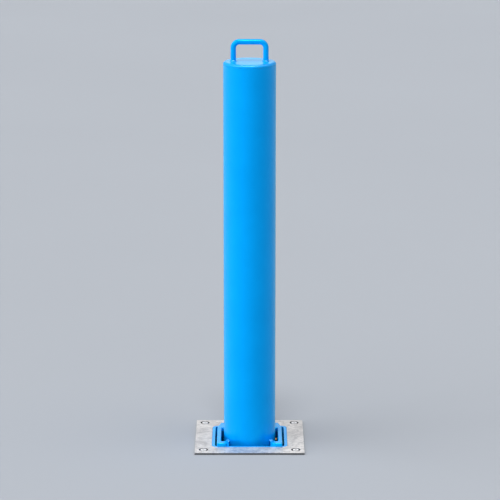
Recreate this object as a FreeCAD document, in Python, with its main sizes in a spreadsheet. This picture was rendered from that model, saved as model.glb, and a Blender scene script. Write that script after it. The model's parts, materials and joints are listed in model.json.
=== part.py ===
import FreeCAD, Part
import math
import os
import re
import Sketcher

from FreeCAD import Placement, Rotation, Vector

# Removable bollard. The origin is on the post's axis at ground level, +Z is up and the front is -Y.
# The frame plate lies on the ground, the socket hangs below it, and the post stands in the socket.

# Driving sizes in millimetres, key_turn in degrees
SIZES = [
    # post
    ("post_diameter", 114.3),
    ("post_wall", 4.0),
    ("post_height", 847.0),
    ("post_depth", 250.0),
    ("cap_thickness", 6.0),
    ("cap_edge", 4.5),
    # lift handle
    ("handle_bar", 12.0),
    ("handle_width", 82.0),
    ("handle_rise", 48.0),
    ("handle_bend", 13.0),
    # frame plate and its screws
    ("plate_side", 240.0),
    ("plate_thickness", 4.0),
    ("plate_corner", 2.0),
    ("plate_gap", 0.5),
    ("screw_edge", 19.0),
    ("screw_front_edge", 24.0),
    ("screw_sink", 20.5),
    ("screw_thread", 8.0),
    ("screw_head", 13.0),
    ("screw_length", 20.0),
    ("screw_socket", 5.0),
    ("screw_gap", 0.5),
    ("nut_flats", 13.0),
    ("nut_height", 6.5),
    ("tab_thickness", 5.0),
    ("tab_margin", 14.0),
    # socket
    ("sleeve_width", 166.0),
    ("sleeve_depth", 154.0),
    ("sleeve_wall", 6.3),
    ("sleeve_corner", 12.6),
    ("socket_depth", 270.0),
    ("floor_thickness", 6.0),
    ("drain_hole", 40.0),
    ("anchor_width", 30.0),
    ("anchor_thickness", 6.0),
    ("anchor_reach", 60.0),
    ("anchor_hook", 45.0),
    ("anchor_bend", 8.0),
    ("anchor_level", 190.0),
    ("anchor_spacing", 90.0),
    # ears that carry the post on the rim of the socket
    ("ear_thickness", 8.0),
    ("ear_side_gap", 4.7),
    ("ear_bar", 9.3),
    ("ear_front_arm", 18.0),
    ("ear_opening", 98.0),
    ("ear_back_side", 38.0),
    ("ear_back_opening", 60.0),
    ("ear_taper_width", 7.5),
    ("ear_taper_length", 29.0),
    ("ear_corner", 3.0),
    ("ear_nose", 8.0),
    ("ear_edge", 2.5),
    ("gusset_thickness", 8.0),
    ("gusset_opening", 92.0),
    ("gusset_gap", 0.6),
    ("gusset_side", 38.0),
    ("gusset_heel", 23.0),
    ("gusset_lap", 1.0),
    # foot of the post
    ("foot_thickness", 8.0),
    ("foot_gap", 2.5),
    ("foot_corner", 10.0),
    ("foot_hole", 50.0),
    # lock
    ("key_turn", 60.0),
    ("lock_level", 60.0),
    ("bolt_diameter", 10.0),
    ("bolt_travel", 20.0),
    ("bolt_drop", 13.5),
    ("bolt_offset", 16.0),
    ("bolt_show", 4.5),
    ("bolt_rear", 47.0),
    ("bolt_flat", 3.0),
    ("bolt_bevel", 1.25),
    ("bolt_hole_gap", 0.6),
    ("running_gap", 0.08),
    ("guide_wall", 4.0),
    ("guide_length", 24.0),
    ("keeper_thickness", 3.0),
    ("keeper_side", 24.0),
    ("yoke_thickness", 5.0),
    ("yoke_width", 16.0),
    ("yoke_margin", 4.5),
    ("yoke_play", 0.45),
    ("slot_corner", 2.6),
    ("crank_gap", 1.0),
    ("crank_thickness", 6.0),
    ("crank_width", 20.0),
    ("pin_diameter", 8.0),
    ("washer_diameter", 22.0),
    ("washer_thickness", 1.5),
    ("washer_play", 0.2),
    ("spindle_diameter", 14.0),
    ("spindle_square", 9.0),
    ("spindle_collar", 18.0),
    ("collar_thickness", 2.4),
    ("key_side", 12.0),
    ("key_recess", 1.0),
    ("bush_wall", 3.0),
    ("bush_proud", 3.0),
    ("bush_bevel", 1.0),
    ("counterbore_gap", 1.0),
    ("counterbore_depth", 14.0),
    ("seal_thickness", 1.5),
    ("crank_screw_thread", 6.0),
    ("crank_screw_length", 12.0),
    ("crank_screw_flats", 10.0),
    ("crank_screw_head", 4.0),
]

# How close counts as touching when an edge is picked by its place
NEAR = 0.01

# Places that several pieces share
DERIVED = [
    ("post_radius", "=post_diameter / 2"),
    ("tube_top", "=post_height - cap_thickness"),
    ("rim_width", "=sleeve_width / 2 - sleeve_wall"),
    ("rim_depth", "=sleeve_depth / 2 - sleeve_wall"),
    ("rim_corner", "=sleeve_corner - sleeve_wall"),
    ("ear_side", "=rim_width - ear_side_gap"),
    ("ear_end", "=sleeve_depth / 2"),
    ("screw_place", "=plate_side / 2 - screw_edge"),
    ("screw_front", "=plate_side / 2 - screw_front_edge"),
    ("screw_seat", "=(screw_sink - screw_head) / 2"),
    ("bolt_level", "=plate_thickness - bolt_drop"),
    ("bolt_tip", "=post_radius + bolt_show"),
    ("bolt_hole", "=bolt_diameter + 2 * bolt_hole_gap"),
    ("guide_bore", "=bolt_diameter + 2 * running_gap"),
    ("guide_outside", "=guide_bore + 2 * guide_wall"),
    ("crank_angle", "=key_turn / 2"),
    ("crank_radius", "=bolt_travel / (2 * sin(key_turn / 2))"),
    ("yoke_middle", "=-crank_radius * sin(crank_angle)"),
    ("yoke_front", "=bolt_offset + bolt_flat"),
    ("yoke_back", "=yoke_front + yoke_thickness"),
    ("crank_front", "=yoke_back + crank_gap"),
    ("crank_back", "=crank_front + crank_thickness"),
    ("bush_front", "=crank_back + washer_play + washer_thickness"),
    ("bush_back", "=post_radius + bush_proud"),
    ("counterbore_width", "=spindle_collar + 2 * counterbore_gap"),
    ("bush_outside", "=counterbore_width + 2 * bush_wall"),
    ("counterbore_floor", "=bush_back - counterbore_depth"),
    ("collar_front", "=counterbore_floor + seal_thickness"),
]

doc = FreeCAD.newDocument("RemovableBollard")
sheet = doc.addObject("Spreadsheet::Sheet", "Sizes")


def fill_sheet():
    """Writes each driving size and the sizes worked out from them."""
    for row, (alias, value) in enumerate(SIZES + DERIVED, start=1):
        sheet.set(f"A{row}", alias)
        sheet.set(f"B{row}", str(value))
        sheet.setAlias(f"B{row}", alias)
    doc.recompute()


def tied(expression):
    """An expression in the sheet's names, as the document's objects need it."""
    return re.sub(r"\b([a-z]+(?:_[a-z]+)+)\b", r"Sizes.\1", expression)


def worked_out(expression):
    """The present value of an expression in the sheet's names."""
    return float(sheet.evalExpression(tied(expression)))


def origin_part(body, role):
    """One of the body's own origin planes or axes, such as XY_Plane."""
    return next(item for item in body.Origin.OriginFeatures if item.Role == role)


def new_body(label, base=("0", "0", "0"), rotation=Rotation()):
    """A body whose place is bound to the sheet."""
    body = doc.addObject("PartDesign::Body", label)
    body.Label = label
    body.AllowCompound = True
    body.Placement = Placement(Vector(0, 0, 0), rotation)
    for axis, place in zip("xyz", base):
        body.setExpression(f"Placement.Base.{axis}", tied(place))
    return body


def new_sketch(body, role="XY_Plane", level="0"):
    """A sketch on one of the body's origin planes, moved along the plane's normal."""
    sketch = body.newObject("Sketcher::SketchObject", f"{body.Name}_sketch")
    sketch.AttachmentSupport = [(origin_part(body, role), "")]
    sketch.MapMode = "FlatFace"
    sketch.setExpression("AttachmentOffset.Base.z", tied(level))
    return sketch


def bind(sketch, kind, *where):
    """Adds a dimension and ties it to an expression, the last item."""
    *place, expression = where
    index = sketch.addConstraint(Sketcher.Constraint(kind, *place, worked_out(expression)))
    sketch.setExpression(f"Constraints[{index}]", tied(expression))


def draw_polygon(sketch, corners):
    """A closed outline of straight edges whose corners are pairs of expressions."""
    first = sketch.GeometryCount
    points = [Vector(worked_out(across), worked_out(along)) for across, along in corners]
    count = len(points)
    for index in range(count):
        following = points[(index + 1) % count]
        sketch.addGeometry(Part.LineSegment(points[index], following), False)
    for index in range(count):
        following = first + (index + 1) % count
        sketch.addConstraint(Sketcher.Constraint("Coincident", first + index, 2, following, 1))
    for index, (across, along) in enumerate(corners):
        bind(sketch, "DistanceX", -1, 1, first + index, 1, across)
        bind(sketch, "DistanceY", -1, 1, first + index, 1, along)


def draw_rectangle(sketch, width, depth):
    """A rectangle centred on the sketch's origin."""
    left, right = f"-({width}) / 2", f"({width}) / 2"
    front, back = f"-({depth}) / 2", f"({depth}) / 2"
    draw_polygon(sketch, [(left, front), (right, front), (right, back), (left, back)])


def draw_circle(sketch, diameter, across="0", along="0"):
    """A circle whose centre and diameter are expressions."""
    centre = Vector(worked_out(across), worked_out(along))
    radius = worked_out(diameter) / 2
    index = sketch.addGeometry(Part.Circle(centre, Vector(0, 0, 1), radius), False)
    bind(sketch, "Diameter", index, diameter)
    bind(sketch, "DistanceX", -1, 1, index, 3, across)
    bind(sketch, "DistanceY", -1, 1, index, 3, along)


def draw_hexagon(sketch, flats, across="0", along="0"):
    """A regular hexagon, its size given across the flats."""
    corner = f"({flats}) / sqrt(3)"
    spots = [(1, 0), (0.5, 1), (-0.5, 1), (-1, 0), (-0.5, -1), (0.5, -1)]
    corners = []
    for out, up in spots:
        corners.append((f"{across} + {out} * {corner}", f"{along} + {up} * ({flats}) / 2"))
    draw_polygon(sketch, corners)


def draw_triangle(sketch, side):
    """An equilateral triangle about the sketch's origin."""
    base, peak = f"-({side}) / sqrt(12)", f"({side}) / sqrt(3)"
    draw_polygon(sketch, [(f"-({side}) / 2", base), (f"({side}) / 2", base), ("0", peak)])


def pad(body, sketch, length, reverse=False):
    """Adds the sketch's outline as a prism."""
    feature = body.newObject("PartDesign::Pad", f"{body.Name}_pad")
    feature.Profile = sketch
    feature.Reversed = reverse
    feature.setExpression("Length", tied(length))
    doc.recompute()
    return feature


def pocket(body, sketch, length, reverse=False):
    """Cuts the sketch's outline, and makes sure that it took something away."""
    before = body.Shape.Volume
    feature = body.newObject("PartDesign::Pocket", f"{body.Name}_pocket")
    feature.Profile = sketch
    feature.Reversed = reverse
    feature.setExpression("Length", tied(length))
    doc.recompute()
    if not body.Shape.Volume < before:
        raise RuntimeError(f"{feature.Name} cuts nothing")
    return feature


def revolve(body, corners):
    """Turns an outline of radius and height about the body's own Z axis."""
    sketch = new_sketch(body, "XZ_Plane")
    draw_polygon(sketch, corners)
    feature = body.newObject("PartDesign::Revolution", f"{body.Name}_turned")
    feature.Profile = sketch
    feature.ReferenceAxis = (sketch, ["V_Axis"])
    feature.Angle = 360
    doc.recompute()
    return feature


def sweep_pipe(body, section, path):
    """Carries the section along the path."""
    pipe = body.newObject("PartDesign::AdditivePipe", f"{body.Name}_pipe")
    pipe.Profile = section
    pipe.Spine = (path, [f"Edge{index + 1}" for index in range(path.GeometryCount)])
    doc.recompute()
    return pipe


def cut_post(body, height):
    """Takes the post's round shape out of a plate that is welded to it."""
    hole = new_sketch(body)
    draw_circle(hole, "post_diameter")
    pocket(body, hole, height, reverse=True)


def edge_names(shape, wanted):
    """The names of the edges for which the test holds."""
    return [f"Edge{index + 1}" for index, edge in enumerate(shape.Edges) if wanted(edge)]


def is_upright(edge):
    """True for a straight edge along Z."""
    straight = edge.Curve.TypeId == "Part::GeomLine"
    return straight and edge.BoundBox.ZLength > 0.9 * edge.Length


def reach(edge):
    """How far the edge's middle lies from the Z axis."""
    middle = edge.valueAt((edge.FirstParameter + edge.LastParameter) / 2)
    return (middle.x ** 2 + middle.y ** 2) ** 0.5


def stands_at(edge, distance):
    """True for an upright edge at this distance from the Z axis."""
    return is_upright(edge) and abs(reach(edge) - distance) < NEAR


def lies_across(edge, across, level):
    """True for an edge along Y that passes through this place on the XZ plane."""
    box = edge.BoundBox
    along_y = box.YLength > 0.9 * edge.Length
    return along_y and abs(box.XMin - across) < NEAR and abs(box.ZMin - level) < NEAR


def round_edges(body, radius, wanted):
    """Rounds the edges of the body's last feature for which the test holds."""
    last = body.Tip
    names = edge_names(last.Shape, wanted)
    feature = body.newObject("PartDesign::Fillet", f"{body.Name}_round")
    feature.Base = (last, names)
    feature.setExpression("Radius", tied(radius))
    doc.recompute()
    return feature


def bevel_edges(body, size, wanted):
    """Bevels the edges of the body's last feature for which the test holds."""
    last = body.Tip
    names = edge_names(last.Shape, wanted)
    feature = body.newObject("PartDesign::Chamfer", f"{body.Name}_bevel")
    feature.Base = (last, names)
    feature.setExpression("Size", tied(size))
    doc.recompute()
    return feature


def corner_pattern(body, features):
    """Repeats what stands at the back right corner of the screw pattern at the other three."""
    rows = body.newObject("PartDesign::LinearPattern", f"{body.Name}_rows")
    rows.Direction = (origin_part(body, "Y_Axis"), [""])
    rows.Reversed = True
    rows.Occurrences = 2
    rows.setExpression("Length", tied("screw_place + screw_front"))
    sides = body.newObject("PartDesign::Mirrored", f"{body.Name}_sides")
    sides.MirrorPlane = (origin_part(body, "YZ_Plane"), [""])
    pattern = body.newObject("PartDesign::MultiTransform", f"{body.Name}_pattern")
    pattern.Originals = features
    pattern.Transformations = [rows, sides]
    body.Tip = pattern
    doc.recompute()
    return pattern


# Turned pieces of the lock lie along the world's Y axis: their own Z points to +Y, their own Y points down
ALONG_Y = Rotation(Vector(1, 0, 0), -90)


def make_frame_plate():
    """Square galvanised plate with a round-cornered opening and four wide countersunk holes."""
    body = new_body("frame_plate")
    outline = new_sketch(body)
    draw_rectangle(outline, "plate_side", "plate_side")
    pad(body, outline, "plate_thickness")
    round_edges(body, "plate_corner", is_upright)
    opening = new_sketch(body)
    draw_rectangle(opening, "sleeve_width + 2 * plate_gap", "sleeve_depth + 2 * plate_gap")
    pocket(body, opening, "plate_thickness", reverse=True)
    half_width = worked_out("sleeve_width / 2 + plate_gap")
    half_depth = worked_out("sleeve_depth / 2 + plate_gap")
    opening_reach = math.hypot(half_width, half_depth)
    round_edges(body, "sleeve_corner + plate_gap", lambda edge: stands_at(edge, opening_reach))
    holes = new_sketch(body, level="plate_thickness")
    for across in "-screw_place", "screw_place":
        for along in "-screw_front", "screw_place":
            draw_circle(holes, "screw_thread + 2 * screw_gap", across, along)
    doc.recompute()
    drilled = body.newObject("PartDesign::Hole", "frame_plate_holes")
    drilled.Profile = holes
    doc.recompute()
    drilled.ThreadType = 0
    drilled.HoleCutType = "Countersink"
    drilled.setExpression("Diameter", tied("screw_thread + 2 * screw_gap"))
    drilled.setExpression("HoleCutDiameter", tied("screw_sink"))
    drilled.HoleCutCountersinkAngle = 90
    drilled.DepthType = "ThroughAll"
    doc.recompute()
    return body


def make_frame_screws():
    """Four socket-head screws, level with the plate, whose heads sit in the countersinks."""
    body = new_body("frame_screws", ("0", "0", "plate_thickness"))
    head = "screw_head / 2 - running_gap"
    shank = "screw_thread / 2"
    shape = new_sketch(body, "XZ_Plane", "-screw_place")
    draw_polygon(shape, [
        ("screw_place", "0"),
        (f"screw_place + {head}", "0"),
        (f"screw_place + {head}", "-screw_seat"),
        (f"screw_place + {shank}", "-screw_seat"),
        (f"screw_place + {shank}", "-screw_length"),
        ("screw_place", "-screw_length"),
    ])
    turned = body.newObject("PartDesign::Revolution", "frame_screws_turned")
    turned.Profile = shape
    turned.ReferenceAxis = (shape, ["Edge6"])
    turned.Angle = 360
    doc.recompute()
    socket = new_sketch(body)
    draw_hexagon(socket, "screw_socket", "screw_place", "screw_place")
    recess = pocket(body, socket, "screw_socket / 2")
    corner_pattern(body, [turned, recess])
    return body


def make_weld_nuts():
    """Four hexagon nuts under the corner tabs."""
    body = new_body("weld_nuts", ("0", "0", "-tab_thickness - nut_height"))
    outline = new_sketch(body)
    draw_hexagon(outline, "nut_flats", "screw_place", "screw_place")
    draw_circle(outline, "screw_thread + 2 * running_gap", "screw_place", "screw_place")
    nut = pad(body, outline, "nut_height")
    corner_pattern(body, [nut])
    return body


def make_socket_sleeve():
    """Box section with round corners and the hole that the lock bolt enters."""
    body = new_body("socket_sleeve")
    outline = new_sketch(body, level="-socket_depth")
    draw_rectangle(outline, "sleeve_width", "sleeve_depth")
    pad(body, outline, "socket_depth + plate_thickness")
    round_edges(body, "sleeve_corner", is_upright)
    inside = new_sketch(body, level="-socket_depth")
    draw_rectangle(inside, "2 * rim_width", "2 * rim_depth")
    pocket(body, inside, "socket_depth + plate_thickness", reverse=True)
    inner_reach = math.hypot(worked_out("rim_width"), worked_out("rim_depth"))
    round_edges(body, "rim_corner", lambda edge: stands_at(edge, inner_reach))
    lock_hole = new_sketch(body, "YZ_Plane")
    draw_circle(lock_hole, "bolt_hole", "bolt_offset", "bolt_level")
    pocket(body, lock_hole, "sleeve_width", reverse=True)
    return body


def make_socket_floor():
    """Plate that closes the socket below, with a drain hole."""
    body = new_body("socket_floor", ("0", "0", "-socket_depth - floor_thickness"))
    outline = new_sketch(body)
    draw_rectangle(outline, "sleeve_width", "sleeve_depth")
    pad(body, outline, "floor_thickness")
    round_edges(body, "sleeve_corner", is_upright)
    drain = new_sketch(body)
    draw_circle(drain, "drain_hole")
    pocket(body, drain, "floor_thickness", reverse=True)
    return body


def make_corner_tab(label, side, end):
    """Flat tab under one corner of the frame plate, drilled for its screw."""
    body = new_body(label, ("0", "0", "-tab_thickness"))
    outline = new_sketch(body)
    inner, outer = "sleeve_width / 2 - sleeve_corner - tab_margin / 2", "screw_place + tab_margin"
    near, far = "sleeve_depth / 2", "screw_place + tab_margin"
    drilled = "screw_place" if end > 0 else "screw_front"
    spots = [(inner, near), (outer, near), (outer, far), (inner, far)]
    draw_polygon(outline, [(f"{side} * ({across})", f"{end} * ({along})") for across, along in spots])
    draw_circle(outline, "screw_thread + 2 * screw_gap", f"{side} * screw_place", f"{end} * {drilled}")
    pad(body, outline, "tab_thickness")
    return body


def make_anchor_strap(label, side, end):
    """Flat strap welded to the sleeve and bent down at its end, to hold in the concrete."""
    turn = Rotation(Vector(0, 0, 1), 0 if side > 0 else 180)
    place = (f"{side} * sleeve_width / 2", f"{end} * anchor_spacing / 2", "-anchor_level")
    body = new_body(label, place, turn)
    outline = new_sketch(body, "XZ_Plane", "-anchor_width / 2")
    draw_polygon(outline, [
        ("0", "0"),
        ("anchor_reach", "0"),
        ("anchor_reach", "-anchor_hook"),
        ("anchor_reach - anchor_thickness", "-anchor_hook"),
        ("anchor_reach - anchor_thickness", "-anchor_thickness"),
        ("0", "-anchor_thickness"),
    ])
    pad(body, outline, "anchor_width")
    outside, thickness = worked_out("anchor_reach"), worked_out("anchor_thickness")
    round_edges(body, "anchor_bend", lambda edge: lies_across(edge, outside - thickness, -thickness))
    round_edges(body, "anchor_bend + anchor_thickness", lambda edge: lies_across(edge, outside, 0))
    return body


def make_keeper_cover():
    """Plate outside the sleeve that keeps concrete out of the lock hole."""
    body = new_body("keeper_cover", ("sleeve_width / 2", "bolt_offset", "bolt_level"))
    outline = new_sketch(body, "YZ_Plane")
    top = "-bolt_level - plate_gap"
    low = "-keeper_side / 2"
    draw_polygon(outline, [(low, low), ("keeper_side / 2", low), ("keeper_side / 2", top), (low, top)])
    pad(body, outline, "keeper_thickness")
    return body


def make_post_tube():
    """Round tube with a hole in the back for the lock bush and one in the right for the bolt guide."""
    body = new_body("post_tube")
    ring = new_sketch(body, level="-post_depth")
    draw_circle(ring, "post_diameter")
    draw_circle(ring, "post_diameter - 2 * post_wall")
    pad(body, ring, "post_depth + tube_top")
    bush_hole = new_sketch(body, "XZ_Plane")
    draw_circle(bush_hole, "bush_outside", "0", "lock_level")
    pocket(body, bush_hole, "post_diameter")
    guide_hole = new_sketch(body, "YZ_Plane")
    draw_circle(guide_hole, "guide_outside", "bolt_offset", "bolt_level")
    pocket(body, guide_hole, "post_diameter", reverse=True)
    return body


def make_top_cap():
    """Flat round cap, welded on and ground off round its rim."""
    body = new_body("top_cap", ("0", "0", "tube_top"))
    outline = new_sketch(body)
    draw_circle(outline, "post_diameter")
    pad(body, outline, "cap_thickness")
    top = worked_out("cap_thickness")
    bevel_edges(body, "cap_edge", lambda edge: edge.BoundBox.ZMin > top - NEAR)
    return body


def make_lift_handle():
    """Round bar bent into a low loop that stands on the cap."""
    body = new_body("lift_handle", ("0", "0", "post_height"))
    leg = worked_out("(handle_width - handle_bar) / 2")
    top = worked_out("handle_rise - handle_bar / 2")
    bend = worked_out("handle_bend")
    path = new_sketch(body, "XZ_Plane")
    path.addGeometry(Part.LineSegment(Vector(-leg, 0), Vector(-leg, top - bend)), False)
    left_bend = Part.Circle(Vector(bend - leg, top - bend), Vector(0, 0, 1), bend)
    path.addGeometry(Part.ArcOfCircle(left_bend, math.pi / 2, math.pi), False)
    path.addGeometry(Part.LineSegment(Vector(bend - leg, top), Vector(leg - bend, top)), False)
    right_bend = Part.Circle(Vector(leg - bend, top - bend), Vector(0, 0, 1), bend)
    path.addGeometry(Part.ArcOfCircle(right_bend, 0, math.pi / 2), False)
    path.addGeometry(Part.LineSegment(Vector(leg, top - bend), Vector(leg, 0)), False)
    path.addConstraint(Sketcher.Constraint("Vertical", 0))
    path.addConstraint(Sketcher.Constraint("Horizontal", 2))
    path.addConstraint(Sketcher.Constraint("Vertical", 4))
    path.addConstraint(Sketcher.Constraint("Tangent", 0, 2, 1, 2))
    path.addConstraint(Sketcher.Constraint("Tangent", 1, 1, 2, 1))
    path.addConstraint(Sketcher.Constraint("Tangent", 2, 2, 3, 2))
    path.addConstraint(Sketcher.Constraint("Tangent", 3, 1, 4, 1))
    bind(path, "Radius", 1, "handle_bend")
    bind(path, "Radius", 3, "handle_bend")
    bind(path, "DistanceX", -1, 1, 0, 1, "-(handle_width - handle_bar) / 2")
    bind(path, "DistanceX", -1, 1, 4, 2, "(handle_width - handle_bar) / 2")
    bind(path, "DistanceY", -1, 1, 0, 1, "0")
    bind(path, "DistanceY", -1, 1, 4, 2, "0")
    bind(path, "DistanceY", -1, 1, 2, 1, "handle_rise - handle_bar / 2")
    section = new_sketch(body)
    draw_circle(section, "handle_bar", "-(handle_width - handle_bar) / 2")
    sweep_pipe(body, section, path)
    return body


def make_ear(label, side):
    """C-shaped plate whose front and back arms rest on the rim of the socket."""
    body = new_body(label, ("0", "0", "plate_thickness"))
    outline = new_sketch(body)
    front, back = "-ear_end", "ear_end"
    bar_inside = "ear_side - ear_bar"
    spots = [
        ("ear_opening / 2", front),
        ("ear_side", front),
        ("ear_side", f"{back} - ear_taper_length"),
        ("ear_side - ear_taper_width", back),
        ("ear_back_opening / 2", back),
        ("ear_back_opening / 2", "ear_back_side"),
        (bar_inside, "ear_back_side"),
        (bar_inside, f"{front} + ear_front_arm"),
        ("ear_opening / 2", f"{front} + ear_front_arm"),
    ]
    draw_polygon(outline, [(f"{side} * ({across})", along) for across, along in spots])
    pad(body, outline, "ear_thickness")
    weld_reach = worked_out("post_radius") + NEAR
    nose = worked_out("ear_opening / 2")
    nose_reaches = [math.hypot(nose, worked_out(along)) for along in ("ear_end", "ear_end - ear_front_arm")]

    def is_nose(edge):
        return any(stands_at(edge, distance) for distance in nose_reaches)

    def is_corner(edge):
        return is_upright(edge) and reach(edge) > weld_reach and not is_nose(edge)

    round_edges(body, "ear_corner", is_corner)
    round_edges(body, "ear_nose", is_nose)
    cut_post(body, "ear_thickness")
    top = worked_out("ear_thickness")
    round_edges(body, "ear_edge", lambda edge: edge.BoundBox.ZMin > top - NEAR and reach(edge) > weld_reach)
    return body


def make_ear_gusset(label, side):
    """Plate below an ear's front arm that ties the arm to the post."""
    body = new_body(label, ("0", "0", "plate_thickness - gusset_thickness"))
    outline = new_sketch(body)
    front = "-(rim_depth - gusset_gap)"
    inner = "gusset_opening / 2"
    spots = [
        (inner, front),
        ("ear_side", front),
        ("ear_side", "-gusset_side"),
        ("post_radius + gusset_lap", "-gusset_side"),
        (inner, "-gusset_heel"),
    ]
    draw_polygon(outline, [(f"{side} * ({across})", along) for across, along in spots])
    pad(body, outline, "gusset_thickness")
    cut_post(body, "gusset_thickness")
    return body


def make_foot_plate():
    """Plate that closes the tube below and guides it in the sleeve."""
    body = new_body("foot_plate", ("0", "0", "-post_depth - foot_thickness"))
    outline = new_sketch(body)
    draw_rectangle(outline, "2 * (rim_width - foot_gap)", "2 * (rim_depth - foot_gap)")
    pad(body, outline, "foot_thickness")
    round_edges(body, "foot_corner", is_upright)
    drain = new_sketch(body)
    draw_circle(drain, "foot_hole")
    pocket(body, drain, "foot_thickness", reverse=True)
    return body


def make_lock_bush():
    """Bush through the back wall that carries the spindle, counterbored for the key."""
    body = new_body("lock_bush", ("0", "0", "lock_level"), ALONG_Y)
    bore = "spindle_diameter / 2 + running_gap"
    revolve(body, [
        (bore, "bush_front"),
        ("bush_outside / 2", "bush_front"),
        ("bush_outside / 2", "bush_back"),
        ("counterbore_width / 2", "bush_back"),
        ("counterbore_width / 2", "counterbore_floor"),
        (bore, "counterbore_floor"),
    ])
    rim, outside = worked_out("bush_back"), worked_out("bush_outside")

    def is_outer_rim(edge):
        return edge.BoundBox.ZMin > rim - NEAR and edge.BoundBox.XLength > outside - NEAR

    bevel_edges(body, "bush_bevel", is_outer_rim)
    return body


def make_spindle_seal():
    """Ring between the spindle's collar and the floor of the counterbore."""
    body = new_body("spindle_seal", ("0", "counterbore_floor", "lock_level"), ALONG_Y)
    ring = new_sketch(body)
    draw_circle(ring, "spindle_collar")
    draw_circle(ring, "spindle_diameter + 4 * running_gap")
    pad(body, ring, "seal_thickness")
    return body


def make_key_spindle():
    """Turned spindle with a three-sided head for the key and a square for the crank."""
    turn = ALONG_Y * Rotation(Vector(0, 0, 1), worked_out("crank_angle"))
    body = new_body("key_spindle", ("0", "0", "lock_level"), turn)
    shank, collar = "spindle_diameter / 2", "spindle_collar / 2"
    head_start = "collar_front + running_gap + collar_thickness"
    revolve(body, [
        ("0", "crank_back"),
        (shank, "crank_back"),
        (shank, "collar_front + running_gap"),
        (collar, "collar_front + running_gap"),
        (collar, head_start),
        ("0", head_start),
    ])
    head = new_sketch(body, level=head_start)
    draw_triangle(head, "key_side")
    pad(body, head, f"bush_back - key_recess - ({head_start})")
    square = new_sketch(body, level="crank_back")
    draw_rectangle(square, "spindle_square", "spindle_square")
    pad(body, square, "crank_thickness - washer_play", reverse=True)
    screw_hole = new_sketch(body, level="crank_front")
    draw_circle(screw_hole, "crank_screw_thread + 2 * running_gap")
    pocket(body, screw_hole, "crank_screw_length + crank_gap", reverse=True)
    return body


def make_crank_arm():
    """Flat arm on the spindle's square that holds the crank pin."""
    turn = ALONG_Y * Rotation(Vector(0, 0, 1), worked_out("crank_angle"))
    body = new_body("crank_arm", ("0", "crank_front", "lock_level"), turn)
    outline = new_sketch(body)
    half, length = worked_out("crank_width / 2"), worked_out("crank_radius")
    outline.addGeometry(Part.LineSegment(Vector(half, 0), Vector(half, length)), False)
    far_end = Part.Circle(Vector(0, length), Vector(0, 0, 1), half)
    outline.addGeometry(Part.ArcOfCircle(far_end, 0, math.pi), False)
    outline.addGeometry(Part.LineSegment(Vector(-half, length), Vector(-half, 0)), False)
    near_end = Part.Circle(Vector(0, 0), Vector(0, 0, 1), half)
    outline.addGeometry(Part.ArcOfCircle(near_end, math.pi, 2 * math.pi), False)
    for index in range(4):
        outline.addConstraint(Sketcher.Constraint("Tangent", index, 2, (index + 1) % 4, 1))
    outline.addConstraint(Sketcher.Constraint("Coincident", 3, 3, -1, 1))
    bind(outline, "Radius", 1, "crank_width / 2")
    bind(outline, "Radius", 3, "crank_width / 2")
    bind(outline, "DistanceX", -1, 1, 1, 3, "0")
    bind(outline, "DistanceY", -1, 1, 1, 3, "crank_radius")
    draw_rectangle(outline, "spindle_square + 2 * running_gap", "spindle_square + 2 * running_gap")
    draw_circle(outline, "pin_diameter + 2 * running_gap", "0", "crank_radius")
    pad(body, outline, "crank_thickness")
    return body


def make_crank_pin():
    """Pin of the crank that works in the slot of the yoke."""
    pin = doc.addObject("Part::Cylinder", "crank_pin")
    pin.Label = "crank_pin"
    pin.setExpression("Radius", tied("pin_diameter / 2"))
    pin.setExpression("Height", tied("crank_back - yoke_front + crank_gap"))
    pin.Placement = Placement(Vector(0, 0, 0), ALONG_Y)
    pin.setExpression("Placement.Base.x", tied("yoke_middle"))
    pin.setExpression("Placement.Base.y", tied("yoke_front - crank_gap"))
    pin.setExpression("Placement.Base.z", tied("lock_level - crank_radius * cos(crank_angle)"))
    return pin


def make_thrust_washer():
    """Washer between the crank and the bush."""
    place = ("0", "bush_front - washer_thickness - washer_play / 2", "lock_level")
    body = new_body("thrust_washer", place, ALONG_Y)
    ring = new_sketch(body)
    draw_circle(ring, "washer_diameter")
    draw_circle(ring, "spindle_diameter + 2 * running_gap")
    pad(body, ring, "washer_thickness")
    return body


def make_crank_screw():
    """Hexagon screw that holds the crank on the spindle."""
    body = new_body("crank_screw", ("0", "crank_front", "lock_level"), ALONG_Y)
    head = new_sketch(body)
    draw_hexagon(head, "crank_screw_flats")
    pad(body, head, "crank_screw_head", reverse=True)
    shank = new_sketch(body)
    draw_circle(shank, "crank_screw_thread")
    pad(body, shank, "crank_screw_length")
    return body


def make_lock_bolt():
    """Round bolt with a bevelled nose and a flat for the yoke."""
    body = new_body("lock_bolt", ("0", "bolt_offset", "bolt_level"))
    bar = new_sketch(body, "YZ_Plane", "-bolt_rear")
    draw_circle(bar, "bolt_diameter")
    pad(body, bar, "bolt_rear + bolt_tip")
    tip = worked_out("bolt_tip")
    bevel_edges(body, "bolt_bevel", lambda edge: edge.BoundBox.XMin > tip - NEAR)
    flat = new_sketch(body, level="-bolt_diameter")
    left, right = "yoke_middle - yoke_width / 2 - crank_gap", "yoke_middle + yoke_width / 2 + crank_gap"
    draw_polygon(flat, [
        (left, "bolt_flat"),
        (right, "bolt_flat"),
        (right, "bolt_diameter"),
        (left, "bolt_diameter"),
    ])
    pocket(body, flat, "2 * bolt_diameter", reverse=True)
    return body


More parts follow.
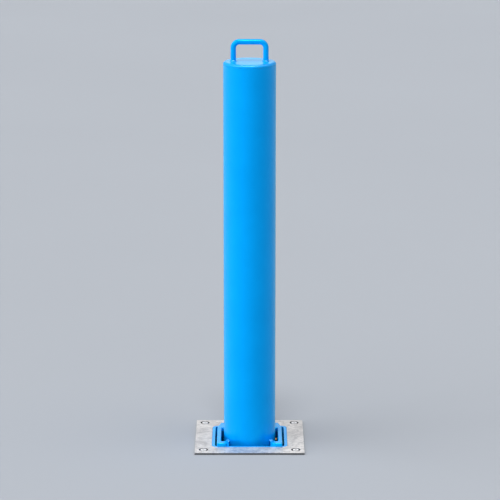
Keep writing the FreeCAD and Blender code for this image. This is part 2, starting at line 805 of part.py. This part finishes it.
def make_bolt_yoke():
    """Upright plate on the bolt whose slot the crank pin pushes to and fro."""
    body = new_body("bolt_yoke", ("yoke_middle", "yoke_back", "0"))
    outline = new_sketch(body, "XZ_Plane")
    low, high = "bolt_level - bolt_diameter / 2", "lock_level - crank_radius * cos(crank_angle)"
    slot_half = "(pin_diameter / 2 + yoke_play)"
    top = f"{high} + {slot_half} + crank_gap + yoke_margin"
    half = "yoke_width / 2"
    draw_polygon(outline, [(f"-{half}", low), (half, low), (half, top), (f"-{half}", top)])
    slot_low = f"lock_level - crank_radius - {slot_half} - crank_gap"
    slot_high = f"{high} + {slot_half} + crank_gap"
    draw_polygon(outline, [
        (f"-{slot_half}", slot_low),
        (slot_half, slot_low),
        (slot_half, slot_high),
        (f"-{slot_half}", slot_high),
    ])
    pad(body, outline, "yoke_thickness")
    side, bottom, top_level = worked_out(slot_half), worked_out(slot_low), worked_out(slot_high)
    ends = [(across, level) for across in (-side, side) for level in (bottom, top_level)]
    round_edges(body, "slot_corner", lambda edge: any(lies_across(edge, *end) for end in ends))
    return body


def make_bolt_guide(label, inner, outer, wall_side):
    """Bush for the bolt between two places along X, cut to the post's round shape at the wall."""
    tube = doc.addObject("Part::Cylinder", f"{label}_tube")
    bore = doc.addObject("Part::Cylinder", f"{label}_bore")
    for cylinder, diameter in ((tube, "guide_outside"), (bore, "guide_bore")):
        cylinder.setExpression("Radius", tied(f"{diameter} / 2"))
        cylinder.setExpression("Height", tied(f"{outer} - ({inner})"))
        cylinder.Placement = Placement(Vector(0, 0, 0), Rotation(Vector(0, 1, 0), 90))
        cylinder.setExpression("Placement.Base.x", tied(inner))
        cylinder.setExpression("Placement.Base.y", tied("bolt_offset"))
        cylinder.setExpression("Placement.Base.z", tied("bolt_level"))
    drilled = doc.addObject("Part::Cut", f"{label}_drilled")
    drilled.Base = tube
    drilled.Tool = bore
    shell = doc.addObject("Part::Cylinder", f"{label}_shell")
    shell.setExpression("Radius", tied(wall_side))
    shell.setExpression("Height", tied("4 * guide_outside"))
    shell.setExpression("Placement.Base.z", tied("bolt_level - 2 * guide_outside"))
    guide = doc.addObject("Part::Common", label)
    guide.Base = drilled
    guide.Tool = shell
    guide.Label = label
    doc.recompute()
    return guide


def check_document():
    """Stops if any object failed."""
    doc.recompute()
    for item in doc.Objects:
        bad = [word for word in item.State if word in ("Invalid", "Error")]
        if bad:
            raise RuntimeError(f"{item.Label} is {bad}")


def write_parts(pieces):
    """Writes each piece's shape to its own file."""
    os.makedirs("parts", exist_ok=True)
    for piece in pieces:
        shape = piece.Shape
        if shape.isNull() or not shape.isValid():
            raise RuntimeError(f"{piece.Label} has no valid shape")
        shape.exportStep(f"parts/{piece.Label}.step")
        print(piece.Label, len(shape.Solids), round(shape.Volume))


def main():
    fill_sheet()
    guide_end = "yoke_middle - yoke_width / 2 - 2 * crank_gap"
    pieces = [
        make_frame_plate(),
        make_frame_screws(),
        make_weld_nuts(),
        make_socket_sleeve(),
        make_socket_floor(),
        make_keeper_cover(),
        make_post_tube(),
        make_top_cap(),
        make_lift_handle(),
        make_foot_plate(),
        make_lock_bush(),
        make_spindle_seal(),
        make_key_spindle(),
        make_crank_arm(),
        make_crank_pin(),
        make_thrust_washer(),
        make_crank_screw(),
        make_lock_bolt(),
        make_bolt_yoke(),
        make_bolt_guide("bolt_guide_right", "post_radius - guide_length", "post_radius", "post_radius"),
        make_bolt_guide("bolt_guide_left", "-post_radius", guide_end, "post_radius - post_wall"),
    ]
    for side_name, side in (("left", -1), ("right", 1)):
        pieces.append(make_ear(f"ear_{side_name}", side))
        pieces.append(make_ear_gusset(f"ear_gusset_{side_name}", side))
        for end_name, end in (("front", -1), ("back", 1)):
            pieces.append(make_corner_tab(f"corner_tab_{end_name}_{side_name}", side, end))
            pieces.append(make_anchor_strap(f"anchor_strap_{end_name}_{side_name}", side, end))
    check_document()
    write_parts(pieces)


main()
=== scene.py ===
import json
import math
import random

import bpy
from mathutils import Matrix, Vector


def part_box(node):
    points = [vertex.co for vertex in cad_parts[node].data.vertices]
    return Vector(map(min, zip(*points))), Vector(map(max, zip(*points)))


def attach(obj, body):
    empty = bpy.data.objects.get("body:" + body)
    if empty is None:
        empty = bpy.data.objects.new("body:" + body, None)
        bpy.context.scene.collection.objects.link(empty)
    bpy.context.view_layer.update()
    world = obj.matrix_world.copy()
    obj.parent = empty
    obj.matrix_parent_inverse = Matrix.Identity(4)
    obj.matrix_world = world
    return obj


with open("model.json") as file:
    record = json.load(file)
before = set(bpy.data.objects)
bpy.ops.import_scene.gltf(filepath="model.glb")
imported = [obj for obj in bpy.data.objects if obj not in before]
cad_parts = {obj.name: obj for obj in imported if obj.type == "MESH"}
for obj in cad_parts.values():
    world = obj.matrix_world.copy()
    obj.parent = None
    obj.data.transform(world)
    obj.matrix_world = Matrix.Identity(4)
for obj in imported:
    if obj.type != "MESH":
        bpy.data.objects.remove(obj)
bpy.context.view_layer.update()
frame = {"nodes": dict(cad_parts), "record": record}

# Camera: the photograph is 500 pixels wide, and its lens is FOCAL_PIXELS long in those pixels
IMAGE_PIXELS = 500
FOCAL_PIXELS = 2386
SENSOR_WIDTH = 36.0
CAMERA_DISTANCE = 5.219
CAMERA_PITCH = math.radians(13.29)
CAMERA_TARGET = Vector((0.0009, 0, 0.4304))
CAMERA_REACH = 200.0

# Floor: its sizes in metres, and a colour that changes by a small share in clouds
FLOOR_SIDE = 60.0
FLOOR_DROP = 0.0004
FLOOR_COLOUR = (0.360, 0.382, 0.418)
FLOOR_CHANGE = 0.01
FLOOR_CLOUD = (0.6, 2)
FLOOR_ROUGHNESS = 0.9

# Sky: its level in front and behind, how far to each side of the middle it changes, and its colour
SKY_FRONT = 0.49
SKY_BACK = 0.34
SKY_TURN = 0.6
SKY_COLOUR = (0.985, 0.99, 1.0)

# Lamps: for each its strength, the azimuth to the left of the front and the elevation that its light comes
# from, and how broad it looks, in degrees. A lamp marked colour lights surfaces and isn't mirrored in them,
# and a lamp marked gloss is only mirrored.
LAMPS = {
    "key": (1.28, 70, 38, 75, "colour"),
    "key_core": (0.34, 82, 60, 30, "colour"),
    "strip_front": (0.98, 58, 3, 14, "colour"),
    "strip_side": (0.94, 76, 5, 12, "colour"),
    "fill": (0.58, -76, 67, 30),
    "rim": (0.21, 180, 18, 40),
    "top": (1.36, 4, 70, 14),
    "glint": (0.4, 68, 40, 10, "gloss"),
}

# Materials: colours are linear. Clouds, grain and lines are noise, given as its scale, where more is finer,
# its detail and sometimes its roughness. A bump is given as its depth in metres and its strength, and an
# uneven roughness as its range. Stops are the noise values that turn to the first and to the second colour.
STOPS = (0.3, 0.7)

# Paint
PAINT = (0.0006, 0.341, 0.915)
PAINT_SHADE = (0.0004, 0.321, 0.875)
PAINT_STOPS = (0.35, 0.65)
PAINT_CLOUD = (14, 3)
PAINT_GRAIN = (1500, 1.5)
PAINT_BUMP = (0.00006, 0.35)
PAINT_METALLIC = 0.1
PAINT_GLOSS = (0.03, 0.9, 1.0, 1.0)
PAINT_GLOSS_LEVEL = 0.8
PAINT_ROUGHNESS = (0.19, 0.26)
PAINT_SHEEN = (0.0, 1.0, 0.6, 1.0)
PAINT_SHEEN_LEVEL = 0.17
PAINT_SHEEN_ROUGHNESS = 0.4
WELD_GLOSS = (0.8, 1.0, 1.0, 1.0)
WELD_ROUGHNESS = (0.14, 0.20)

# Socket: the painted shade below ground, the heights between which the paint turns to it, and the soft edge
# of its rim
SOCKET_DARK = (0.006, 0.014, 0.022)
SOCKET_DULL = (0.0096, 0.0224, 0.0352)
SOCKET_FADE = (-0.045, -0.006)
SOCKET_BEVEL = 0.0018
SOCKET_BEVEL_STEPS = 3
SOCKET_BEVEL_ANGLE = math.radians(60)

# Zinc: on level faces the light and dark of its clouds and spangle, on steep ones a painted shade for cut
# edges, and between them a darker painted shade for the countersinks. A slope is 0 on a wall and 1 on a
# level face.
ZINC_LIGHT = (0.86, 0.835, 0.82)
ZINC_DARK = (0.48, 0.472, 0.475)
ZINC_EDGE_SHADE = (0.13, 0.137, 0.145)
ZINC_SINK_SHADE = (0.055, 0.057, 0.06)
ZINC_EDGE_SLOPES = (0.2, 0.5)
ZINC_LEVEL_SLOPES = (0.8, 0.97)
ZINC_CLOUD = (24, 4, 0.6)
ZINC_SPANGLE = 160
ZINC_SPANGLE_SHARE = 0.25
ZINC_BUMP = (0.0002, 0.3)
ZINC_METALLIC = 0.6
ZINC_ROUGHNESS = (0.38, 0.55)

# Steel, brass and rubber, and how far below its head a screw's key socket turns to painted shade, in metres
SCREW_STEEL = (0.97, 0.97, 0.98)
SCREW_ROUGHNESS = 0.42
SCREW_METALLIC = 0.4
SCREW_SINK = (0.0022, 0.0012)
LOCK_STEEL = (0.5, 0.5, 0.52)
LOCK_ROUGHNESS = 0.35
# The brass is darkened well below its own colour, a painted shade for the bolt's nose down in the slot.
SHADED_BRASS = (0.38, 0.18, 0.08)
BRASS_ROUGHNESS = 0.4
METAL_SHADE = 0.8
METAL_LINES = (900, 3)
METAL_STRETCH = (0.15, 1.0, 1.0)
METAL_BUMP = (0.00003, 0.4)
METAL_ROUGHNESS_SPREAD = (-0.06, 0.08)
RUBBER_DARK = (0.012, 0.012, 0.013)
RUBBER_LIGHT = (0.025, 0.025, 0.027)
RUBBER_GRAIN = (1200, 2)
RUBBER_BUMP = (0.00004, 0.4)
RUBBER_ROUGHNESS = (0.55, 0.7)

# Weld beads, in metres: a bead's pair of legs is how far it reaches on each of the two surfaces
WELD_STEP = 0.0007
CAP_BEAD = (0.0068, 0.0053)
HANDLE_BEAD = (0.0026, 0.0026)
EAR_BEAD = (0.0036, 0.0036)
GUSSET_BEAD = (0.0042, 0.0050)
FOOT_BEAD = (0.0040, 0.0040)
BUSH_BEAD = (0.0013, 0.0013)
STRAP_BEAD = (0.0036, 0.0036)
STRAP_THICKNESS = 0.006

# A bead's shape: its fullness and its root, both as shares of the legs' sum. Fullness is where the middle of
# its curve is pulled to, 0 being the corner itself and 0.5 the straight line between the legs. Root is the
# hidden point that the section closes on.
PLAIN_SHAPE = (0.36, -0.1)
CAP_SHAPE = (0.13, 0.7)
SECTION_POINTS = 9

# Ripples and slow waves along a bead, as shares of its size, and how small an open end gets
RIPPLE_PITCH = 0.0030
RIPPLE_DEPTH = 0.06
RIPPLE_CURL = 0.9
WAVE_SPANS = (0.045, 0.026, 0.015)
WAVE_DEPTH = 0.13
SIZE_CHANGE = 0.06
TWIST = 0.14
END_TAPER = 0.05
BEAD_SEED = 7

# Where an ear's back arm and its gusset meet the post, in degrees from the side towards the back
BACK_ARM_ARC = (40, 60)
GUSSET_ARC = (-40, -27)


class Nodes:
    """A material's node tree, with short ways to add a node and join two."""

    def __init__(self, name):
        self.material = bpy.data.materials.new(name)
        self.material.use_nodes = True
        self.tree = self.material.node_tree
        self.shader = self.tree.nodes["Principled BSDF"]
        self.place = self.add("ShaderNodeTexCoord").outputs["Object"]

    def add(self, kind, **values):
        node = self.tree.nodes.new(kind)
        for name, value in values.items():
            setattr(node, name, value)
        return node

    def join(self, output, socket):
        self.tree.links.new(output, socket)

    def noise(self, scale, detail, roughness=0.5, stretch=None):
        node = self.add("ShaderNodeTexNoise")
        node.inputs["Scale"].default_value = scale
        node.inputs["Detail"].default_value = detail
        node.inputs["Roughness"].default_value = roughness
        self.join(self.stretched(stretch) if stretch else self.place, node.inputs["Vector"])
        return node.outputs["Fac"]

    def stretched(self, factors):
        node = self.add("ShaderNodeMapping")
        node.inputs["Scale"].default_value = factors
        self.join(self.place, node.inputs["Vector"])
        return node.outputs["Vector"]

    def cells(self, scale):
        """A value from 0 to 1 for each cell of an uneven pattern."""
        node = self.add("ShaderNodeTexVoronoi")
        node.inputs["Scale"].default_value = scale
        self.join(self.place, node.inputs["Vector"])
        parts = self.add("ShaderNodeSeparateColor")
        self.join(node.outputs["Color"], parts.inputs["Color"])
        return parts.outputs["Red"]

    def ramp(self, factor, stops, low, high):
        """Turns from the low colour to the high one between the two stops."""
        node = self.add("ShaderNodeValToRGB")
        for element, place, colour in zip(node.color_ramp.elements, stops, (low, high)):
            element.position = place
            element.color = (*colour, 1.0)
        self.join(factor, node.inputs["Fac"])
        return node.outputs["Color"]

    def to_range(self, factor, low, high, start=0.0, end=1.0):
        """Turns start to end into low to high, and stays there beyond them."""
        node = self.add("ShaderNodeMapRange")
        node.inputs["From Min"].default_value = start
        node.inputs["From Max"].default_value = end
        node.inputs["To Min"].default_value = low
        node.inputs["To Max"].default_value = high
        self.join(factor, node.inputs["Value"])
        return node.outputs["Result"]

    def share_between(self, factor, limits):
        """0 below the first limit, 1 above the second, and even in between."""
        return self.to_range(factor, 0.0, 1.0, *limits)

    def mix_colours(self, factor, first, second):
        node = self.add("ShaderNodeMix", data_type="RGBA")
        self.join(factor, node.inputs["Factor"])
        self.join(first, node.inputs["A"])
        self.join(second, node.inputs["B"])
        return node.outputs["Result"]

    def mix_numbers(self, share, first, second):
        node = self.add("ShaderNodeMix", data_type="FLOAT")
        node.inputs["Factor"].default_value = share
        self.join(first, node.inputs["A"])
        self.join(second, node.inputs["B"])
        return node.outputs["Result"]

    def upright_part(self, output):
        """The Z part of a vector."""
        parts = self.add("ShaderNodeSeparateXYZ")
        self.join(output, parts.inputs["Vector"])
        return parts.outputs["Z"]

    def slope(self):
        """How far the surface faces up: 0 on a wall, 1 on a level top."""
        return self.upright_part(self.add("ShaderNodeNewGeometry").outputs["True Normal"])

    def bump(self, height, distance, strength):
        node = self.add("ShaderNodeBump")
        node.inputs["Distance"].default_value = distance
        node.inputs["Strength"].default_value = strength
        self.join(height, node.inputs["Height"])
        self.join(node.outputs["Normal"], self.shader.inputs["Normal"])

    def colour(self, output):
        self.join(output, self.shader.inputs["Base Color"])

    def roughness(self, factor, low, high):
        self.join(self.to_range(factor, low, high), self.shader.inputs["Roughness"])

    def set_plain(self, **values):
        """Sets the shader's plain values. An underscore in a name stands for a space."""
        for name, value in values.items():
            self.shader.inputs[name.replace("_", " ")].default_value = value


def scaled(colour, factor):
    """The colour made lighter or darker."""
    return tuple(factor * part for part in colour)


def paint_material(name, gloss=PAINT_GLOSS, roughness=PAINT_ROUGHNESS, fades=False):
    """Light blue powder coat, a little cloudy, with an orange-peel grain. Below ground it may turn to a
    painted shade.
    """
    made = Nodes(name)
    cloud = made.noise(*PAINT_CLOUD)
    colour = made.ramp(cloud, PAINT_STOPS, PAINT_SHADE, PAINT)
    if fades:
        # Below ground the paint turns to a painted shade, for the shade deep down in the socket.
        below_ground_shade = made.ramp(cloud, PAINT_STOPS, SOCKET_DARK, SOCKET_DULL)
        height = made.share_between(made.upright_part(made.place), SOCKET_FADE)
        colour = made.mix_colours(height, below_ground_shade, colour)
    made.colour(colour)
    grain = made.noise(*PAINT_GRAIN)
    made.roughness(grain, *roughness)
    made.bump(grain, *PAINT_BUMP)
    made.set_plain(Metallic=PAINT_METALLIC)
    made.set_plain(Specular_Tint=gloss, Specular_IOR_Level=PAINT_GLOSS_LEVEL)
    made.set_plain(Sheen_Tint=PAINT_SHEEN, Sheen_Weight=PAINT_SHEEN_LEVEL)
    made.set_plain(Sheen_Roughness=PAINT_SHEEN_ROUGHNESS)
    return made.material


def zinc_material():
    """Galvanised steel: pale soft spangle on the flat faces, with painted shade on cut edges and in
    countersinks.
    """
    made = Nodes("galvanised_zinc")
    spangle = made.cells(ZINC_SPANGLE)
    cloud = made.noise(*ZINC_CLOUD)
    shade = made.mix_numbers(ZINC_SPANGLE_SHARE, cloud, spangle)
    flat = made.ramp(shade, STOPS, ZINC_DARK, ZINC_LIGHT)
    # Steep faces get a painted shade: the cut edges, and darker still the countersinks.
    slope = made.slope()
    steep = made.ramp(slope, ZINC_EDGE_SLOPES, ZINC_EDGE_SHADE, ZINC_SINK_SHADE)
    level = made.share_between(slope, ZINC_LEVEL_SLOPES)
    made.colour(made.mix_colours(level, steep, flat))
    made.roughness(shade, *ZINC_ROUGHNESS)
    made.bump(cloud, *ZINC_BUMP)
    made.set_plain(Metallic=ZINC_METALLIC)
    return made.material


def metal_material(name, colour, roughness, metallic=1.0, sink=None):
    """Turned or rolled metal with fine uneven lines. Between two heights it may turn to a painted shade."""
    made = Nodes(name)
    lines = made.noise(*METAL_LINES, stretch=METAL_STRETCH)
    mixed = made.ramp(lines, STOPS, scaled(colour, METAL_SHADE), colour)
    if sink:
        # A painted shade deep in a screw's key socket, below the first of the two heights.
        key_socket_shade = made.ramp(lines, STOPS, ZINC_SINK_SHADE, ZINC_EDGE_SHADE)
        height = made.share_between(made.upright_part(made.place), sink)
        mixed = made.mix_colours(height, key_socket_shade, mixed)
    made.colour(mixed)
    made.roughness(lines, *(roughness + change for change in METAL_ROUGHNESS_SPREAD))
    made.bump(lines, *METAL_BUMP)
    made.set_plain(Metallic=metallic)
    return made.material


def rubber_material():
    """Black seal rubber."""
    made = Nodes("seal_rubber")
    grain = made.noise(*RUBBER_GRAIN)
    made.colour(made.ramp(grain, STOPS, RUBBER_DARK, RUBBER_LIGHT))
    made.roughness(grain, *RUBBER_ROUGHNESS)
    made.bump(grain, *RUBBER_BUMP)
    return made.material


def floor_material():
    """Dull pale grey, hardly uneven."""
    made = Nodes("floor_grey")
    cloud = made.noise(*FLOOR_CLOUD)
    dull = scaled(FLOOR_COLOUR, 1 - FLOOR_CHANGE)
    pale = scaled(FLOOR_COLOUR, 1 + FLOOR_CHANGE)
    made.colour(made.ramp(cloud, STOPS, dull, pale))
    made.set_plain(Roughness=FLOOR_ROUGHNESS, Specular_IOR_Level=0.0)
    return made.material


def dress_nodes():
    """Gives each CAD node the material of its slot, and returns the materials by slot."""
    screw_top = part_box("frame_screws")[1].z
    sink = [screw_top - depth for depth in SCREW_SINK]
    materials = {
        "blue_paint": paint_material("blue_powder_coat"),
        "galvanised_steel": zinc_material(),
        "screw_steel": metal_material("screw_steel", SCREW_STEEL, SCREW_ROUGHNESS, SCREW_METALLIC, sink),
        "lock_steel": metal_material("lock_steel", LOCK_STEEL, LOCK_ROUGHNESS),
        "bolt_brass": metal_material("bolt_brass", SHADED_BRASS, BRASS_ROUGHNESS),
        "black_rubber": rubber_material(),
    }
    slots = {part["node"]: part["material_slot"] for part in frame["record"]["subparts"]}
    for name, node in frame["nodes"].items():
        node.data.materials.clear()
        node.data.materials.append(materials[slots[name]])
    return materials


def dress_socket():
    """Paints shade on the socket below ground, and softens the edges of its rim."""
    dark = paint_material("socket_powder_coat", fades=True)
    for name in "socket_sleeve", "socket_floor":
        frame["nodes"][name].data.materials[0] = dark
    soft = frame["nodes"]["socket_sleeve"].modifiers.new("soft_edges", "BEVEL")
    soft.width = SOCKET_BEVEL
    soft.segments = SOCKET_BEVEL_STEPS
    soft.limit_method = "ANGLE"
    soft.angle_limit = SOCKET_BEVEL_ANGLE
    soft.harden_normals = True


def add_mesh(name, points, faces, material):
    """A new object in the scene with one material."""
    mesh = bpy.data.meshes.new(name)
    mesh.from_pydata(points, [], faces)
    mesh.materials.append(material)
    piece = bpy.data.objects.new(name, mesh)
    bpy.context.scene.collection.objects.link(piece)
    return piece


def bead_run(count, length, closed, seed):
    """For each step along a bead, a slow uneven wave from -1 to 1 and the bead's size, less at open ends."""
    draw = random.Random(seed)
    waves = [(max(1, round(length / span)), draw.uniform(0, math.tau)) for span in WAVE_SPANS]
    run = []
    for step in range(count):
        share = step / count if closed else step / (count - 1)
        swell = sum(math.sin(math.tau * turns * share + phase) for turns, phase in waves) / len(waves)
        taper = 1.0 if closed else math.sqrt(max(END_TAPER, math.sin(math.pi * share)))
        run.append((swell, taper * (1 + SIZE_CHANGE * swell)))
    return run


def bead_points(corners, run, ripples, legs, shape):
    """At each corner, a rippled curve from one surface to the other and the root that closes it."""
    fullness, root = shape
    points = []
    for step, ((corner, first, second), (swell, size)) in enumerate(zip(corners, run)):
        one = first * legs[0] * size * (1 + TWIST * swell)
        other = second * legs[1] * size * (1 - TWIST * swell)
        pull = corner + (one + other) * fullness
        base = corner + (one + other) * root
        for number in range(SECTION_POINTS):
            t = number / (SECTION_POINTS - 1)
            arch = 4 * t * (1 - t)
            ripple = math.sin(math.tau * (ripples * step / len(corners) + RIPPLE_CURL * arch))
            curve = (1 - t) ** 2 * (corner + one) + 2 * t * (1 - t) * pull + t ** 2 * (corner + other)
            points.append(curve + (curve - base) * (RIPPLE_DEPTH * ripple + WAVE_DEPTH * swell) * arch)
        points.append(base)
    return points


def bead_faces(count, closed):
    """Faces from each section to the next, and over both ends of an open bead."""
    side = SECTION_POINTS + 1
    faces = []
    for span in range(count if closed else count - 1):
        near = span * side
        far = (span + 1) % count * side
        for number in range(side):
            following = (number + 1) % side
            faces.append((near + number, far + number, far + following, near + following))
    if not closed:
        last = count * side - 1
        faces.append(tuple(range(side)))
        faces.append(tuple(range(last, last - side, -1)))
    return faces


def make_bead(name, body, material, corners, legs, closed=True, shape=PLAIN_SHAPE):
    """A weld bead along a line of corners.

    Each corner is a point and the two directions that the surfaces take from it.
    """
    places = [corner for corner, _, _ in corners]
    follows = places[1:] + (places[:1] if closed else [])
    length = sum((end - start).length for start, end in zip(places, follows))
    run = bead_run(len(corners), length, closed, BEAD_SEED + len(name) + len(corners))
    ripples = round(length / RIPPLE_PITCH)
    points = bead_points(corners, run, ripples, legs, shape)
    bead = add_mesh(name, points, bead_faces(len(corners), closed), material)
    bead.data.shade_smooth()
    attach(bead, body)


def ring_corners(centre, radius, outward, start=0.0, end=math.tau):
    """Corners where a round wall stands on a level face, or for an outward of -1 ends below one."""
    closed = end - start >= math.tau
    count = round((end - start) * radius / WELD_STEP)
    corners = []
    for step in range(count):
        angle = start + (end - start) * step / (count if closed else count - 1)
        out = Vector((math.cos(angle), math.sin(angle), 0))
        corners.append((centre + out * radius, Vector((0, 0, outward)), out * outward))
    return corners


def weld_cap(material):
    """The bead round the rim of the cap, rounded over the cap's bevel."""
    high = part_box("top_cap")[1]
    rim = ring_corners(Vector((0, 0, high.z)), high.x, -1)
    make_bead("weld_cap", "post", material, rim, CAP_BEAD, shape=CAP_SHAPE)


def weld_handle(material):
    """A small bead round each foot of the lift handle."""
    low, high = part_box("lift_handle")
    radius = (high.y - low.y) / 2
    for name, across in (("left", low.x + radius), ("right", high.x - radius)):
        foot = ring_corners(Vector((across, 0, low.z)), radius, 1)
        make_bead(f"weld_handle_{name}", "post", material, foot, HANDLE_BEAD)


def weld_ears(material):
    """Beads between the post and the ears' back arms, and between the post and the gussets."""
    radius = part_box("post_tube")[1].x
    for side in "left", "right":
        arm_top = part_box(f"ear_{side}")[1].z
        gusset_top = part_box(f"ear_gusset_{side}")[1].z
        for name, level, arc, legs in (("ear", arm_top, BACK_ARM_ARC, EAR_BEAD),
                                       ("gusset", gusset_top, GUSSET_ARC, GUSSET_BEAD)):
            start, end = sorted(math.radians(angle if side == "right" else 180 - angle) for angle in arc)
            corners = ring_corners(Vector((0, 0, level)), radius, 1, start, end)
            make_bead(f"weld_{name}_{side}", "post", material, corners, legs, closed=False)


def weld_foot(material):
    """The bead where the post stands on its foot plate."""
    ring = ring_corners(Vector((0, 0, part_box("foot_plate")[1].z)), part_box("post_tube")[1].x, 1)
    make_bead("weld_foot", "post", material, ring, FOOT_BEAD)


def weld_bush(material):
    """A thin bead round the lock bush, on the round back of the post."""
    low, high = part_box("lock_bush")
    radius = (high.x - low.x) / 2
    level = (low.z + high.z) / 2
    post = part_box("post_tube")[1].x
    count = round(math.tau * radius / WELD_STEP)
    corners = []
    for step in range(count):
        angle = math.tau * step / count
        across, up = math.cos(angle), math.sin(angle)
        back = math.sqrt(post ** 2 - (radius * across) ** 2)
        along_post = Vector((across, -radius * across ** 2 / back, up)).normalized()
        corners.append((Vector((radius * across, back, level + radius * up)), Vector((0, 1, 0)), along_post))
    make_bead("weld_bush", "post", material, corners, BUSH_BEAD)


def weld_strap(material, name):
    """Beads above and below an anchor strap, on the side of the sleeve."""
    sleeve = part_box("socket_sleeve")[1].x
    low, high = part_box(f"anchor_strap_{name}")
    out = 1 if name.endswith("right") else -1
    count = round((high.y - low.y) / WELD_STEP)
    for where, level, up in (("top", high.z, 1), ("low", high.z - STRAP_THICKNESS, -1)):
        corners = []
        for step in range(count + 1):
            along = low.y + (high.y - low.y) * step / count
            corners.append((Vector((out * sleeve, along, level)), Vector((0, 0, up)), Vector((out, 0, 0))))
        bead = f"weld_strap_{name}_{where}"
        make_bead(bead, "ground", material, corners, STRAP_BEAD, closed=False)


def make_floor():
    """Pale floor at ground level, open under the frame plate where the socket goes down."""
    low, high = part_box("socket_sleeve")
    half = FLOOR_SIDE / 2
    across = [-half, low.x, high.x, half]
    along = [-half, low.y, high.y, half]
    points = [(x, y, -FLOOR_DROP) for y in along for x in across]
    row_length = len(across)
    faces = []
    for row in range(len(along) - 1):
        for column in range(row_length - 1):
            if (row, column) == (1, 1):
                continue
            first = row * row_length + column
            faces.append((first, first + 1, first + row_length + 1, first + row_length))
    floor = add_mesh("floor", points, faces, floor_material())


def add_lamp(name, strength, azimuth, elevation, spread, lights="both"):
    """A broad lamp far away, so that its light is as strong at the back of the floor as at the front."""
    lamp = bpy.data.lights.new(name, "SUN")
    lamp.energy = strength
    lamp.angle = math.radians(spread)
    holder = bpy.data.objects.new(name, lamp)
    around, up = math.radians(azimuth), math.radians(elevation)
    towards = Vector((-math.sin(around) * math.cos(up), -math.cos(around) * math.cos(up), math.sin(up)))
    holder.rotation_euler = towards.to_track_quat("Z", "Y").to_euler()
    holder.visible_diffuse = lights != "gloss"
    holder.visible_glossy = lights != "colour"
    bpy.context.scene.collection.objects.link(holder)


def make_sky():
    """A pale surround that is dimmer behind."""
    world = bpy.data.worlds.new("studio")
    world.use_nodes = True
    nodes = world.node_tree.nodes
    join = world.node_tree.links.new
    sky = nodes["Background"]
    sky.inputs["Color"].default_value = (*SKY_COLOUR, 1.0)
    parts = nodes.new("ShaderNodeSeparateXYZ")
    join(nodes.new("ShaderNodeTexCoord").outputs["Generated"], parts.inputs["Vector"])
    level = nodes.new("ShaderNodeMapRange")
    level.interpolation_type = "SMOOTHSTEP"
    level.inputs["From Min"].default_value = -SKY_TURN
    level.inputs["From Max"].default_value = SKY_TURN
    level.inputs["To Min"].default_value = SKY_FRONT
    level.inputs["To Max"].default_value = SKY_BACK
    join(parts.outputs["Y"], level.inputs["Value"])
    join(level.outputs["Result"], sky.inputs["Strength"])
    bpy.context.scene.world = world


def make_camera():
    """The photograph's viewpoint."""
    camera = bpy.data.cameras.new("camera")
    camera.sensor_width = SENSOR_WIDTH
    camera.lens = FOCAL_PIXELS / IMAGE_PIXELS * SENSOR_WIDTH
    camera.clip_end = CAMERA_REACH
    holder = bpy.data.objects.new("camera", camera)
    back = Vector((0, -math.cos(CAMERA_PITCH), math.sin(CAMERA_PITCH)))
    holder.location = CAMERA_TARGET + CAMERA_DISTANCE * back
    holder.rotation_euler = (math.pi / 2 - CAMERA_PITCH, 0, 0)
    bpy.context.scene.collection.objects.link(holder)
    bpy.context.scene.camera = holder


make_camera()
make_sky()
for lamp, settings in LAMPS.items():
    add_lamp(lamp, *settings)
make_floor()
materials = dress_nodes()
dress_socket()
weld_paint = paint_material("weld_powder_coat", gloss=WELD_GLOSS, roughness=WELD_ROUGHNESS)
for weld in weld_cap, weld_handle, weld_ears, weld_foot, weld_bush:
    weld(weld_paint)
for end in "front", "back":
    for side in "left", "right":
        weld_strap(materials["galvanised_steel"], f"{end}_{side}")
bpy.context.scene.view_settings.view_transform = "Standard"
